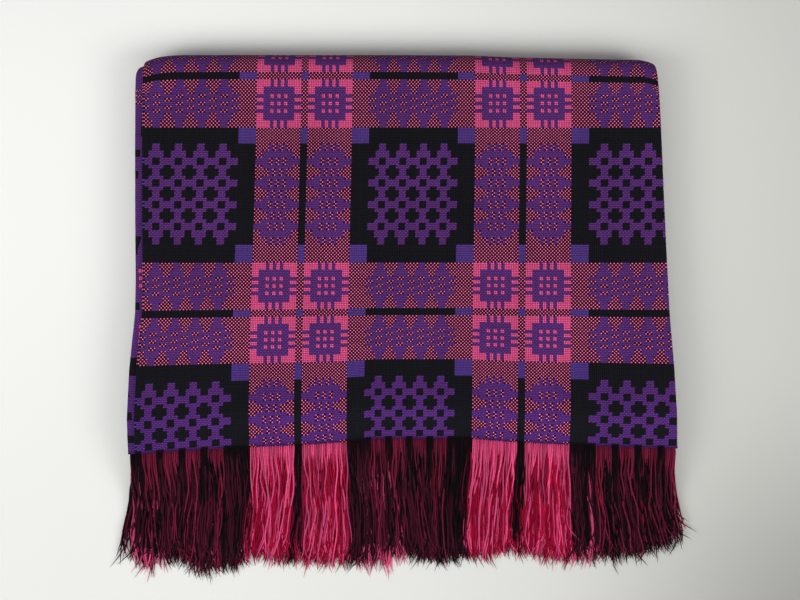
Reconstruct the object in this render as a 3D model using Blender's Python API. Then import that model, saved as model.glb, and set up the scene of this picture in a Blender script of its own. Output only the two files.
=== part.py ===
"""A Welsh tapestry blanket, folded for storage.

The cloth is one thick double weave. Its width is folded back and forth in three, with the selvedge
on top at the left. Its length is then folded in half and in half again, so that both fringed ends
lie at the front, one on the other. A fringe is the cloth's own warp ends: locks that grow from a
narrow strip along each end and fall to the surface.
"""

import math
from collections import namedtuple

import bmesh
import bpy

NAME = "welsh_tapestry_blanket"

# The cloth, in metres.
THICKNESS = 0.0024
AIR = 0.0005
LAYER = THICKNESS + AIR
HALF = THICKNESS / 2
SELVEDGE_INSET = 0.0093
END_INSET = 0.0075

# The folded pile from front to back, before it is laid out unevenly. The outer bend at the back
# takes three bands' worth of layers between its two ends, the others only the cloth's own three.
FRONT = -0.1857
BACK = 0.1968
DEPTH = BACK - FRONT
HALF_FOLD_INSET = 0.011
INNER_BEND_INSET = 0.004
OUTER_RADIUS = 5.5 * LAYER + HALF
HALF_FOLD_RADIUS = 2.5 * LAYER + HALF

# The fringes.
STRIP = 0.0025
PARTING = 0.0004
LOCKS_PER_LAYER = 30
LOCKS_FROM_X = -0.2565
LOCKS_TO_X = 0.2720
LOCK_WIDTH = 0.0024
TIP_WIDTH = 0.0018
LOCK_HEIGHT = 0.0018
FRINGE_REACH = 0.1260
RAGGED = 0.045
FALL = 0.058
LAYERS = 3
ROWS = 2 * LAYERS

# How finely the bends and the flats are divided.
SIDE_BEND_STEPS = 4
HALF_FOLD_STEPS = 4
OUTER_BEND_STEPS = 8
CUTS_Y = (-0.155, -0.110, -0.060, 0.010, 0.120)

# A band is one quarter of the cloth's length. Its level is that of its middle layer, counted in
# layers from the bottom one. The folds are the outermost x at its front and at its back.
Band = namedtuple("Band", "level left_front left_back right_front right_back")
BANDS = {
    "top": Band(10, -0.2610, -0.2610, 0.2735, 0.2550),
    "second": Band(7, -0.2618, -0.2605, 0.2690, 0.2560),
    "third": Band(4, -0.2600, -0.2605, 0.2680, 0.2560),
    "bottom": Band(1, -0.2598, -0.2610, 0.2670, 0.2550),
}

# How far the front edge bows towards the fringe, and how far the back edge falls in.
Edge = namedtuple("Edge", "x front back")
EDGES = (
    Edge(-0.266, 0.0149, 0.0190),
    Edge(-0.254, 0.0147, 0.0090),
    Edge(-0.238, 0.0136, 0.0021),
    Edge(-0.215, 0.0120, 0.0000),
    Edge(-0.160, 0.0092, 0.0000),
    Edge(-0.095, 0.0066, 0.0000),
    Edge(-0.045, 0.0033, 0.0000),
    Edge(-0.018, 0.0003, 0.0000),
    Edge(0.070, 0.0000, 0.0003),
    Edge(0.115, 0.0036, 0.0024),
    Edge(0.175, 0.0063, 0.0038),
    Edge(0.240, 0.0088, 0.0050),
    Edge(0.272, 0.0096, 0.0120),
)

# How far each side is pushed to the right, from the front to the back.
Side = namedtuple("Side", "y left right")
SIDES = (
    Side(-0.184, 0.0020, 0.0000),
    Side(-0.155, 0.0000, -0.0005),
    Side(-0.112, 0.0010, -0.0005),
    Side(-0.062, 0.0051, -0.0021),
    Side(-0.034, 0.0048, -0.0019),
    Side(0.048, 0.0013, -0.0016),
    Side(0.098, -0.0005, -0.0010),
    Side(0.158, -0.0020, -0.0003),
)
LEFT_END_X = -0.265
RIGHT_END_X = 0.270
SIDE_FADE = 0.090

# The rest of what makes the pile uneven: the length leans left as it comes forward, its rows bow
# from a little before the middle, the back edge falls in over a short way, the front edge droops
# except at its left corner, the fringe spreads at its sides, and the layers lie in slight waves
# and are puffed at the folded sides.
LEAN = 0.0040
BOW_FROM_Y = -0.010
BOW_POWER = 1.3
BACK_FADE = 0.070
DROOP = 0.20
DROOP_FROM_Y = -0.150
DROOP_FROM_X = -0.250
DROOP_OVER = 0.100
SPLAY = 0.017
SPLAY_FULL_X = 0.265
SPLAY_POWER = 4
SWAY = 0.0022
WAVE_LONG = 0.014
WAVE_SHORT = 0.008
PUFF = 0.035
PUFF_FROM_X = 0.225
PUFF_OVER = 0.040

Station = namedtuple("Station", "y z angle left right")
Across = namedtuple("Across", "x rise nx nrise")


def smooth(t):
    t = min(max(t, 0.0), 1.0)
    return t * t * (3 - 2 * t)


def between(rows, at, column):
    """Reads a column of a table at a place in its first column, evenly between the rows."""
    if at <= rows[0][0]:
        return getattr(rows[0], column)
    for low, high in zip(rows, rows[1:]):
        if at <= high[0]:
            share = (at - low[0]) / (high[0] - low[0])
            return getattr(low, column) * (1 - share) + getattr(high, column) * share
    return getattr(rows[-1], column)


def lay(x, y, z):
    """Moves a point of the evenly folded pile to where the uneven pile has it."""
    bow = max(0.0, (BOW_FROM_Y - y) / (BOW_FROM_Y - FRONT)) ** BOW_POWER
    fall_in = smooth((y - BACK + BACK_FADE) / (BACK_FADE - OUTER_RADIUS))
    forward = between(EDGES, x, "front") * min(bow, 1.0) + between(EDGES, x, "back") * fall_in
    sideways = between(SIDES, y, "left") * smooth((LEFT_END_X + SIDE_FADE - x) / SIDE_FADE)
    sideways += between(SIDES, y, "right") * smooth((x - RIGHT_END_X + SIDE_FADE) / SIDE_FADE)
    sideways -= LEAN * smooth((BACK - y) / DEPTH)
    beyond = smooth((FRONT - y) / FRINGE_REACH)
    sideways += SPLAY * beyond * math.copysign((abs(x) / SPLAY_FULL_X) ** SPLAY_POWER, x)
    sideways += SWAY * beyond * math.sin(23 * x + 38 * y)
    waves = WAVE_LONG * math.sin(17 * x + 1.2) * math.cos(13 * y - 0.5)
    waves += WAVE_SHORT * math.sin(41 * x - 22 * y)
    puffed = PUFF * smooth((abs(x) - PUFF_FROM_X) / PUFF_OVER)
    drooped = DROOP * smooth((DROOP_FROM_Y - y) / (DROOP_FROM_Y - FRONT))
    drooped *= smooth((x - DROOP_FROM_X) / DROOP_OVER)
    return x + sideways, y - forward, z * (1 + waves + puffed - drooped)


def level_z(level):
    """The height of a layer's middle, counted from the bottom layer."""
    return HALF + level * LAYER


def folds_at(band, y):
    """The outermost x of a band's two folded sides, at a place from front to back."""
    share = min(max((y - FRONT) / DEPTH, 0.0), 1.0)
    left = band.left_front * (1 - share) + band.left_back * share
    right = band.right_front * (1 - share) + band.right_back * share
    return left, right


def band_run(band, start, stop, angle):
    """Stations along one band, between two places from front to back."""
    cuts = [y for y in CUTS_Y if min(start, stop) < y < max(start, stop)]
    places = [start, *(cuts if start < stop else reversed(cuts)), stop]
    run = []
    for y in places:
        run.append(Station(y, level_z(band.level), angle, *folds_at(band, y)))
    return run


def bend(centre_y, low, high, angles, side, steps):
    """Stations round a bend of the length, between the levels of the two bands that it joins."""
    radius = (high.level - low.level) * LAYER / 2
    centre_z = level_z((high.level + low.level) / 2)
    start, stop = angles
    stations = []
    for step in range(1, steps):
        angle = start + (stop - start) * step / steps
        y = centre_y - side * radius * math.sin(angle)
        z = centre_z + side * radius * math.cos(angle)
        stations.append(Station(y, z, angle, *folds_at(low, y)))
    return stations


def length_path():
    """The whole length of the cloth, from the top fringe's strip round to the lower one's."""
    top, second, third, bottom = BANDS.values()
    cloth_end = FRONT + STRIP + PARTING
    outer_centre = BACK - OUTER_RADIUS
    inner_centre = outer_centre - INNER_BEND_INSET
    fold_centre = FRONT + HALF_FOLD_INSET + HALF_FOLD_RADIUS
    path = band_run(top, cloth_end, outer_centre, 0.0)
    path += bend(outer_centre, bottom, top, (0.0, -math.pi), 1, OUTER_BEND_STEPS)
    path += band_run(bottom, outer_centre, fold_centre, -math.pi)
    path += bend(fold_centre, bottom, third, (-math.pi, -2 * math.pi), 1, HALF_FOLD_STEPS)
    path += band_run(third, fold_centre, inner_centre, 0.0)
    path += bend(inner_centre, third, second, (0.0, math.pi), -1, HALF_FOLD_STEPS)
    path += band_run(second, inner_centre, cloth_end, math.pi)
    return path


def layer_run(start, stop, rise, way, cuts):
    """One layer across the pile, with the side that faces up on top as its normal."""
    inside = sorted(x for x in cuts if min(start, stop) < x < max(start, stop))
    places = [start, *(inside if way > 0 else reversed(inside)), stop]
    return [Across(x, rise, 0.0, float(way)) for x in places]


def side_bend(centre_x, centre_rise, side):
    """The small bend at a folded side, seen from the front."""
    radius = LAYER / 2
    points = []
    for step in range(1, SIDE_BEND_STEPS):
        angle = math.pi / 2 - math.pi * step / SIDE_BEND_STEPS
        out, up = math.cos(angle), math.sin(angle)
        points.append(Across(centre_x + side * radius * out, centre_rise + radius * up, out, side * up))
    return points


def section(left, right, cuts):
    """The cloth across the pile, from the selvedge on top to the end of the third layer."""
    right_bend = right - HALF - LAYER / 2
    left_bend = left + HALF + LAYER / 2
    across = layer_run(left + SELVEDGE_INSET, right_bend, LAYER, 1, cuts[0])
    across += side_bend(right_bend, LAYER / 2, 1)
    across += layer_run(right_bend, left_bend, 0.0, -1, cuts[1])
    across += side_bend(left_bend, -LAYER / 2, -1)
    across += layer_run(left_bend, right - END_INSET, -LAYER, 1, cuts[2])
    return across


def place(point, offset, station):
    """A point of a section, off the middle of the cloth, at a station of the length."""
    rise = point.rise + offset * point.nrise
    y = station.y - math.sin(station.angle) * rise
    z = station.z + math.cos(station.angle) * rise
    return point.x + offset * point.nx, y, z


def sweep(bm, stations, cuts):
    """Sweeps the section along stations as one closed body, and returns its first end's faces."""
    rings = []
    for station in stations:
        across = section(station.left, station.right, cuts)
        face = [bm.verts.new(place(point, HALF, station)) for point in across]
        back = [bm.verts.new(place(point, -HALF, station)) for point in across]
        rings.append(face + back[::-1])
    count = len(rings[0])
    for near, far in zip(rings, rings[1:]):
        for i in range(count):
            j = (i + 1) % count
            bm.faces.new((near[i], near[j], far[j], far[i]))
    ends = []
    for ring in (rings[0], rings[-1]):
        ends.append(
            [
                bm.faces.new((ring[i], ring[i + 1], ring[count - 2 - i], ring[count - 1 - i]))
                for i in range(count // 2 - 1)
            ]
        )
    return ends[0]


def lock_places(row):
    """The x of each lock in one of the six rows, which take turns across the pile."""
    pitch = (LOCKS_TO_X - LOCKS_FROM_X) / LOCKS_PER_LAYER
    return [LOCKS_FROM_X + (lock + row / ROWS) * pitch for lock in range(LOCKS_PER_LAYER)]


def width(face):
    """How wide a face is across the pile."""
    places = [vert.co.x for vert in face.verts]
    return max(places) - min(places)


def grow_lock(bm, root, number):
    """Grows one lock from a face at the front of its strip, down to the surface and along it."""
    middle = root.calc_center_median()
    reach = FRINGE_REACH - between(EDGES, middle.x, "front")
    reach *= 1 - RAGGED * (1 + math.sin(2.4 * number))
    face = root
    at_z, wide, tall = middle.z, LOCK_WIDTH, THICKNESS
    for out in (FALL * 0.30, FALL * 0.62, FALL, reach):
        new_wide = LOCK_WIDTH + (TIP_WIDTH - LOCK_WIDTH) * out / reach
        new_z = LOCK_HEIGHT / 2 + (middle.z - LOCK_HEIGHT / 2) * (1 - smooth(out / FALL))
        face = bmesh.ops.extrude_discrete_faces(bm, faces=[face])["faces"][0]
        for vert in face.verts:
            vert.co.x = middle.x + (vert.co.x - middle.x) * new_wide / wide
            vert.co.y = FRONT - out
            vert.co.z = new_z + (vert.co.z - at_z) * LOCK_HEIGHT / tall
        at_z, wide, tall = new_z, new_wide, LOCK_HEIGHT


def fringe(bm, band, angle, first_row):
    """A strip along one end of the cloth, with a row of locks on each of its three layers."""
    rows = [lock_places(first_row + LAYERS - 1 - layer) for layer in range(LAYERS)]
    edges = [[x + side * LOCK_WIDTH / 2 for x in row for side in (-1, 1)] for row in rows]
    stations = [
        Station(y, level_z(band.level), angle, band.left_front, band.right_front)
        for y in (FRONT, FRONT + STRIP)
    ]
    roots = [face for face in sweep(bm, stations, edges) if abs(width(face) - LOCK_WIDTH) < AIR / 10]
    for number, root in enumerate(roots):
        grow_lock(bm, root, number + first_row)


def finish(bm, name, material, collection):
    """Lays the body out unevenly and makes it an object."""
    for vert in bm.verts:
        vert.co = lay(*vert.co)
    bmesh.ops.recalc_face_normals(bm, faces=bm.faces)
    mesh = bpy.data.meshes.new(name)
    bm.to_mesh(mesh)
    bm.free()
    mesh.materials.append(material)
    body = bpy.data.objects.new(name, mesh)
    collection.objects.link(body)
    return body


def wool(name, colour):
    """A dull wool finish."""
    material = bpy.data.materials.new(name)
    material.use_nodes = True
    shader = material.node_tree.nodes["Principled BSDF"]
    shader.inputs["Base Color"].default_value = (*colour, 1)
    shader.inputs["Roughness"].default_value = 0.92
    shader.inputs["Metallic"].default_value = 0.0
    return material


def centre(pieces):
    """Stands the pile on the origin, at the middle of its box."""
    corners = [vert.co for piece in pieces for vert in piece.data.vertices]
    middle_x = (min(c.x for c in corners) + max(c.x for c in corners)) / 2
    middle_y = (min(c.y for c in corners) + max(c.y for c in corners)) / 2
    for corner in corners:
        corner.x -= middle_x
        corner.y -= middle_y
    print("moved by", round(-middle_x, 5), round(-middle_y, 5))


def main():
    for item in list(bpy.data.objects):
        bpy.data.objects.remove(item)
    collection = bpy.data.collections.new(NAME)
    bpy.context.scene.collection.children.link(collection)
    woven = wool("woven_wool", (0.085, 0.022, 0.130))
    loose = wool("fringe_wool", (0.250, 0.022, 0.075))
    bm = bmesh.new()
    sweep(bm, length_path(), [[edge.x for edge in EDGES]] * 3)
    pieces = [finish(bm, "cloth", woven, collection)]
    bm = bmesh.new()
    fringe(bm, BANDS["top"], 0.0, LAYERS)
    pieces.append(finish(bm, "fringe_upper", loose, collection))
    bm = bmesh.new()
    fringe(bm, BANDS["second"], math.pi, 0)
    pieces.append(finish(bm, "fringe_lower", loose, collection))
    centre(pieces)


main()
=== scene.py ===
# %% [markdown]
# A Welsh tapestry blanket, folded and laid flat with its fringe towards us.
#
# The real thing is one long piece of double cloth. Two plain weaves, one of black and pink wool and
# one of crimson and blue wool, are woven one above the other and change places to draw the pattern.
# It has been folded in three across its width and in four along its length, and its fringes are its
# own warp ends, left loose.
#
# We could drape a flat sheet with the cloth simulation, but a blanket folded by hand has known folds,
# so we lay the cloth along its fold path with arithmetic. That gives the same result each time.
# Every point still knows which thread and which row of the weave it is, which the pattern needs.

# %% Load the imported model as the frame
from collections import namedtuple

import bpy
import numpy as np
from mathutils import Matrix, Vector


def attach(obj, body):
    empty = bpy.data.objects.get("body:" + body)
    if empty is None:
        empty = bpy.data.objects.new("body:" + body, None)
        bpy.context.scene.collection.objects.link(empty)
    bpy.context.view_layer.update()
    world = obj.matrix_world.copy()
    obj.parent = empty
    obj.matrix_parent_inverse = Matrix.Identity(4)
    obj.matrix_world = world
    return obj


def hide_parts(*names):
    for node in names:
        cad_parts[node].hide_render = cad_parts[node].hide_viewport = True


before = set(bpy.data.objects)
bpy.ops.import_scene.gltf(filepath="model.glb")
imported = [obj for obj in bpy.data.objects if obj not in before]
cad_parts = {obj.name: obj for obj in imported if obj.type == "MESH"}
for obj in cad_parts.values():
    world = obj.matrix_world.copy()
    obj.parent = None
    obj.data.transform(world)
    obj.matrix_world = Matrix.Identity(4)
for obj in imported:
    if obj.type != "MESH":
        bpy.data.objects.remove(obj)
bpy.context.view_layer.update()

# %% [markdown]
# First come the cloth's own measures. The folded pile is described as if it lay perfectly even, and
# then one function, lay(), moves every point to where the uneven pile really has it. The fringe
# passes through the same function, so cloth and fringe always meet.

# %% The cloth and the pile, in metres
THICKNESS = 0.0024
AIR = 0.0005
LAYER = THICKNESS + AIR
HALF = THICKNESS / 2
SELVEDGE_INSET = 0.0093
END_INSET = 0.0075

FRONT = -0.1857
BACK = 0.1968
DEPTH = BACK - FRONT
HALF_FOLD_INSET = 0.011
INNER_BEND_INSET = 0.004
# The radius of a bend of the length, out to its outermost surface, is counted in layers first.
OUTER_BEND_LAYERS = 5.5
HALF_FOLD_LAYERS = 2.5
OUTER_RADIUS = OUTER_BEND_LAYERS * LAYER + HALF
HALF_FOLD_RADIUS = HALF_FOLD_LAYERS * LAYER + HALF
FRINGE_REACH = 0.1260

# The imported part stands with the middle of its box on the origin.
TO_ROW_FRAME = np.array((-0.00666, 0.05748, 0.0))

# A band is a quarter of the cloth's length. Its level is counted in layers from the bottom one.
Band = namedtuple("Band", "level left_front left_back right_front right_back")
TOP = Band(10, -0.2610, -0.2610, 0.2735, 0.2550)
SECOND = Band(7, -0.2618, -0.2605, 0.2690, 0.2560)
THIRD = Band(4, -0.2600, -0.2605, 0.2680, 0.2560)
BOTTOM = Band(1, -0.2598, -0.2610, 0.2670, 0.2550)

# %% How the pile lies unevenly
# At each x: how far the front edge bows towards us, and how far the back edge falls in.
EDGES = np.array(
    (
        (-0.266, 0.0149, 0.0150),
        (-0.262, 0.0149, 0.0122),
        (-0.258, 0.0148, 0.0096),
        (-0.254, 0.0147, 0.0074),
        (-0.250, 0.0145, 0.0056),
        (-0.246, 0.0142, 0.0040),
        (-0.242, 0.0139, 0.0027),
        (-0.238, 0.0136, 0.0017),
        (-0.228, 0.0128, 0.0004),
        (-0.215, 0.0120, 0.0000),
        (-0.160, 0.0092, 0.0000),
        (-0.095, 0.0066, 0.0000),
        (-0.045, 0.0033, 0.0000),
        (-0.018, 0.0003, 0.0000),
        (0.070, 0.0000, 0.0003),
        (0.115, 0.0036, 0.0024),
        (0.175, 0.0063, 0.0038),
        (0.240, 0.0088, 0.0050),
        (0.248, 0.0090, 0.0068),
        (0.256, 0.0092, 0.0100),
        (0.264, 0.0094, 0.0140),
        (0.272, 0.0096, 0.0180),
    )
)
# At each y: how far the left and the right side are pushed to the right.
SIDES = np.array(
    (
        (-0.184, 0.0030, 0.0010),
        (-0.155, 0.0010, 0.0005),
        (-0.112, 0.0019, 0.0004),
        (-0.062, 0.0059, -0.0013),
        (-0.034, 0.0055, -0.0012),
        (0.048, 0.0017, -0.0012),
        (0.098, -0.0003, -0.0008),
        (0.158, -0.0020, -0.0003),
    )
)
# The push at each side fades out towards the middle.
LEFT_END_X = -0.265
RIGHT_END_X = 0.270
SIDE_FADE = 0.090
# The whole pile leans this far to the left at its front.
LEAN = 0.0050
# The front edge's bow begins here, and the back edge's fall this far from the back.
BOW_FROM_Y = -0.010
BOW_POWER = 1.3
BACK_FADE = 0.052
# Near the front the pile is lower by this share of its height, but not at its left end.
DROOP = 0.20
DROOP_FROM_Y = -0.150
DROOP_FROM_X = -0.250
DROOP_OVER = 0.100
# The fringe spreads past the pile at both sides, and sways a little on its way.
SPLAY_LEFT = 0.011
SPLAY_RIGHT = 0.017
SPLAY_FULL_X = 0.265
SPLAY_POWER = 4
SWAY = 0.0022
SWAY_RATES = (23, 38)
# The pile's height varies by these shares in one long wave and one short one.
LONG_WAVE = 0.014
LONG_WAVE_RATES = (17, 13)
LONG_WAVE_PHASES = (1.2, 0.5)
SHORT_WAVE = 0.008
SHORT_WAVE_RATES = (41, -22)
# The folded sides are thicker by this share.
PUFF = 0.035
PUFF_FROM_X = 0.225
PUFF_OVER = 0.040


def smooth(t):
    t = np.clip(t, 0.0, 1.0)
    return t * t * (3 - 2 * t)


def between(table, at, column):
    """Reads a column of a table at places in its first column."""
    return np.interp(at, table[:, 0], table[:, column])


# %% [markdown]
# A folded blanket is never a flat board. On the real one the layers lie in soft waves, and a few
# faint creases show where it was folded another way before. Each crease is listed as a line with a
# width and a depth: a trough where the depth is below nought, and a ridge above it.

# %% Soft creases, and the function that lays a point of the even pile in its real place
Crease = namedtuple("Crease", "x0 y0 x1 y1 width depth")
CREASES = (
    Crease(-0.060, 0.200, -0.040, -0.190, 0.016, -0.020),
    Crease(0.146, 0.200, 0.160, -0.190, 0.020, 0.014),
    Crease(-0.265, 0.006, 0.275, -0.004, 0.018, -0.014),
    Crease(-0.200, -0.090, -0.256, -0.186, 0.012, 0.030),
    Crease(0.205, -0.120, 0.262, -0.186, 0.012, -0.024),
    Crease(0.020, -0.120, 0.034, -0.186, 0.014, 0.022),
    Crease(-0.250, 0.120, -0.180, 0.196, 0.016, -0.020),
)
# A crease fades in and out over this share of its length, and runs on a little past its end.
CREASE_FADE = 0.2
CREASE_PAST_END = 1.1


def creased(x, y):
    """How much the creases raise or lower the pile, as a share of its height."""
    total = np.zeros_like(x)
    for crease in CREASES:
        along_x, along_y = crease.x1 - crease.x0, crease.y1 - crease.y0
        length = np.hypot(along_x, along_y)
        share = ((x - crease.x0) * along_x + (y - crease.y0) * along_y) / length**2
        off = ((x - crease.x0) * along_y - (y - crease.y0) * along_x) / length
        fade = smooth(share / CREASE_FADE) * smooth((CREASE_PAST_END - share) / CREASE_FADE)
        total += crease.depth * fade * np.exp(-((off / crease.width) ** 2))
    return total


def lay(x, y, z):
    """Moves points of the evenly folded pile to where the uneven pile has them."""
    bow = np.clip((BOW_FROM_Y - y) / (BOW_FROM_Y - FRONT), 0.0, 1.0) ** BOW_POWER
    fall_in = smooth((y - BACK + BACK_FADE) / (BACK_FADE - OUTER_RADIUS))
    forward = between(EDGES, x, 1) * bow + between(EDGES, x, 2) * fall_in
    sideways = between(SIDES, y, 1) * smooth((LEFT_END_X + SIDE_FADE - x) / SIDE_FADE)
    sideways += between(SIDES, y, 2) * smooth((x - RIGHT_END_X + SIDE_FADE) / SIDE_FADE)
    sideways -= LEAN * smooth((BACK - y) / DEPTH)
    beyond = smooth((FRONT - y) / FRINGE_REACH)
    splay = np.where(x < 0, -SPLAY_LEFT, SPLAY_RIGHT)
    sideways += splay * beyond * (np.abs(x) / SPLAY_FULL_X) ** SPLAY_POWER
    sideways += SWAY * beyond * np.sin(SWAY_RATES[0] * x + SWAY_RATES[1] * y)
    waves = LONG_WAVE * np.sin(LONG_WAVE_RATES[0] * x + LONG_WAVE_PHASES[0])
    waves *= np.cos(LONG_WAVE_RATES[1] * y - LONG_WAVE_PHASES[1])
    waves += SHORT_WAVE * np.sin(SHORT_WAVE_RATES[0] * x + SHORT_WAVE_RATES[1] * y)
    puffed = PUFF * smooth((np.abs(x) - PUFF_FROM_X) / PUFF_OVER)
    drooped = DROOP * smooth((DROOP_FROM_Y - y) / (DROOP_FROM_Y - FRONT))
    drooped *= smooth((x - DROOP_FROM_X) / DROOP_OVER)
    height = z * (1 + waves + puffed - drooped + creased(x, y))
    return np.stack((x + sideways, y - forward, height), axis=-1) + TO_ROW_FRAME


# %% [markdown]
# The weave is counted, not measured: the pattern repeats every 128 ends across and every 132 picks
# along. So each place on the cloth gets a thread number and a row number. Both are 0 in the middle
# of one black square, the middle one of the three nearest the back. On the top band the threads and
# rows lie a little unevenly, wide in some squares and close in others, so their places are given in
# two short lists.

# %% Thread and row numbers
THREAD = 0.001694
ROW = 0.001757
SELVEDGE_THREAD = -153.0
FAR_SELVEDGE_THREAD = 793.0
# The left fold isn't folded quite along a thread. At each y: the thread that lies on it.
LEFT_FOLD = np.array(
    (
        (-0.1857, 490.0),
        (-0.140, 487.0),
        (-0.100, 479.0),
        (-0.003, 476.0),
        (0.031, 483.0),
        (0.0845, 488.0),
        (0.1968, 490.0),
    )
)
# The middle layer was folded a little askew. At the left fold it lies this many rows further on.
ROW_SKEW = 4.8

# Thread number, and the x where it lies in the upper layer.
THREAD_PLACES = np.array(
    (
        (-153, -0.2517),
        (-146, -0.2391),
        (-134, -0.2170),
        (-122, -0.1953),
        (-110, -0.1735),
        (-102, -0.1585),
        (-92, -0.1414),
        (-36, -0.0467),
        (-26, -0.0298),
        (26, 0.0575),
        (36, 0.0745),
        (92, 0.1697),
        (102, 0.1870),
        (110, 0.2024),
        (122, 0.2241),
        (134, 0.2460),
        (150, 0.2750),
    )
)

# Row number, and the y where it lies in the middle of the top band.
ROW_PLACES = np.array(
    (
        (142, -0.1857),
        (138, -0.1805),
        (126, -0.1610),
        (114, -0.1400),
        (104, -0.1247),
        (94, -0.1090),
        (68, -0.0660),
        (64, -0.0594),
        (38, -0.0148),
        (28, 0.0028),
        (-28, 0.1031),
        (-38, 0.1187),
        (-64, 0.1676),
    )
)


def upper_thread(x):
    """The thread number at a place across the upper layer."""
    return np.interp(x, THREAD_PLACES[:, 1], THREAD_PLACES[:, 0])


def top_row(y):
    """The row number at a place on the top band, from front to back."""
    beyond = np.maximum(y - ROW_PLACES[-1, 1], 0.0) / ROW
    return np.interp(y, ROW_PLACES[:, 1], ROW_PLACES[:, 0]) - beyond


# %% [markdown]
# The fold path follows the length of the cloth: along the top band to the back, round the wide
# outer bend, forward underneath, and then back and forth once more inside. Each station on it knows
# its place, the way the cloth faces there, and its row number. The stations are close together
# where the cloth shows, and far apart inside the pile.

# %% The fold path along the cloth's length
# The room of a station, or of a point across, is its place in the unrolled map.
Station = namedtuple("Station", "y z angle left right row room")
Across = namedtuple("Across", "x rise nx nrise thread room")
# How many stations each run of the path has, and its share of the unrolled map's height.
TOP_RUN = (96, 0.60)
OUTER_BEND = (18, 0.12)
BOTTOM_RUN = (14, 0.14)
HALF_FOLD = (8, 0.03)
THIRD_RUN = (14, 0.03)
INNER_BEND = (8, 0.02)
SECOND_RUN = (14, 0.03)


def level_z(level):
    return HALF + level * LAYER


def folds_at(band, y):
    """The outermost x of a band's two folded sides, at a place from front to back."""
    share = np.clip((y - FRONT) / DEPTH, 0.0, 1.0)
    left = band.left_front * (1 - share) + band.left_back * share
    right = band.right_front * (1 - share) + band.right_back * share
    return left, right


def along_band(path, band, stop, angle, steps, room):
    """Adds stations along a band to the path, from where it is now."""
    last = path[-1]
    for step in range(1, steps + 1):
        y = last.y + (stop - last.y) * step / steps
        row = top_row(y) if band is TOP else last.row - abs(y - last.y) / ROW
        spot = last.room + room * step / steps
        path.append(Station(y, level_z(band.level), angle, *folds_at(band, y), row, spot))


def round_bend(path, low, high, turn, side, steps, room):
    """Adds stations round a bend of the length, from where the path is now."""
    last = path[-1]
    radius = (high.level - low.level) * LAYER / 2
    centre_z = level_z((high.level + low.level) / 2)
    arc = abs(turn) * (radius + LAYER)
    for step in range(1, steps + 1):
        share = step / steps
        angle = last.angle + turn * share
        y = last.y - side * radius * np.sin(angle)
        z = centre_z + side * radius * np.cos(angle)
        row = last.row - arc * share / ROW
        path.append(Station(y, z, angle, *folds_at(low, y), row, last.room + room * share))


def length_path():
    """The whole length of the cloth, from the top fringe round to the lower one."""
    outer_y = BACK - OUTER_RADIUS
    inner_y = outer_y - INNER_BEND_INSET
    fold_y = FRONT + HALF_FOLD_INSET + HALF_FOLD_RADIUS
    first = Station(FRONT, level_z(TOP.level), 0.0, *folds_at(TOP, FRONT), top_row(FRONT), 0.0)
    path = [first]
    along_band(path, TOP, outer_y, 0.0, *TOP_RUN)
    round_bend(path, BOTTOM, TOP, -np.pi, 1, *OUTER_BEND)
    along_band(path, BOTTOM, fold_y, -np.pi, *BOTTOM_RUN)
    round_bend(path, BOTTOM, THIRD, -np.pi, 1, *HALF_FOLD)
    along_band(path, THIRD, inner_y, -2 * np.pi, *THIRD_RUN)
    round_bend(path, THIRD, SECOND, np.pi, -1, *INNER_BEND)
    along_band(path, SECOND, FRONT, -np.pi, *SECOND_RUN)
    return path


PATH = length_path()
print("fold path:", len(PATH), "stations, rows", round(PATH[0].row), "to", round(PATH[-1].row))

# %% [markdown]
# Across the pile the cloth goes there and back and there again, like a letter Z. The upper layer
# starts at the selvedge on the left. Each small bend is a half circle as wide as one layer, and the
# selvedge itself is rounded, because a woven edge is a soft roll and not a cut.

# %% The fold across the cloth's width
UPPER_STEPS = 116
INNER_ACROSS_STEPS = 34
SIDE_BEND_STEPS = 8
# Where each stretch of the section starts and stops in the width of the unrolled map.
UPPER_ROOM = (0.0, 0.56)
RIGHT_BEND_ROOM = (0.56, 0.59)
MIDDLE_ROOM = (0.59, 0.67)
LEFT_BEND_ROOM = (0.67, 0.70)
INNER_ROOM = (0.70, 0.77)


def flat_across(start, stop, rise, way, threads, rooms, steps):
    """One layer across the pile. Its way is 1 where the face looks up, and -1 where it looks down."""
    points = []
    for share in np.linspace(0.0, 1.0, steps + 1):
        thread = threads[0] + (threads[1] - threads[0]) * share
        room = rooms[0] + (rooms[1] - rooms[0]) * share
        points.append(Across(start + (stop - start) * share, rise, 0.0, way, thread, room))
    return points


def bend_across(centre_x, centre_rise, side, threads, rooms):
    """The small bend at a folded side, seen from the front."""
    radius = LAYER / 2
    points = []
    for step in range(1, SIDE_BEND_STEPS):
        share = step / SIDE_BEND_STEPS
        angle = np.pi / 2 - np.pi * share
        out, up = np.cos(angle), np.sin(angle)
        thread = threads[0] + (threads[1] - threads[0]) * share
        room = rooms[0] + (rooms[1] - rooms[0]) * share
        rise = centre_rise + radius * up
        points.append(Across(centre_x + side * radius * out, rise, out, side * up, thread, room))
    return points


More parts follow.
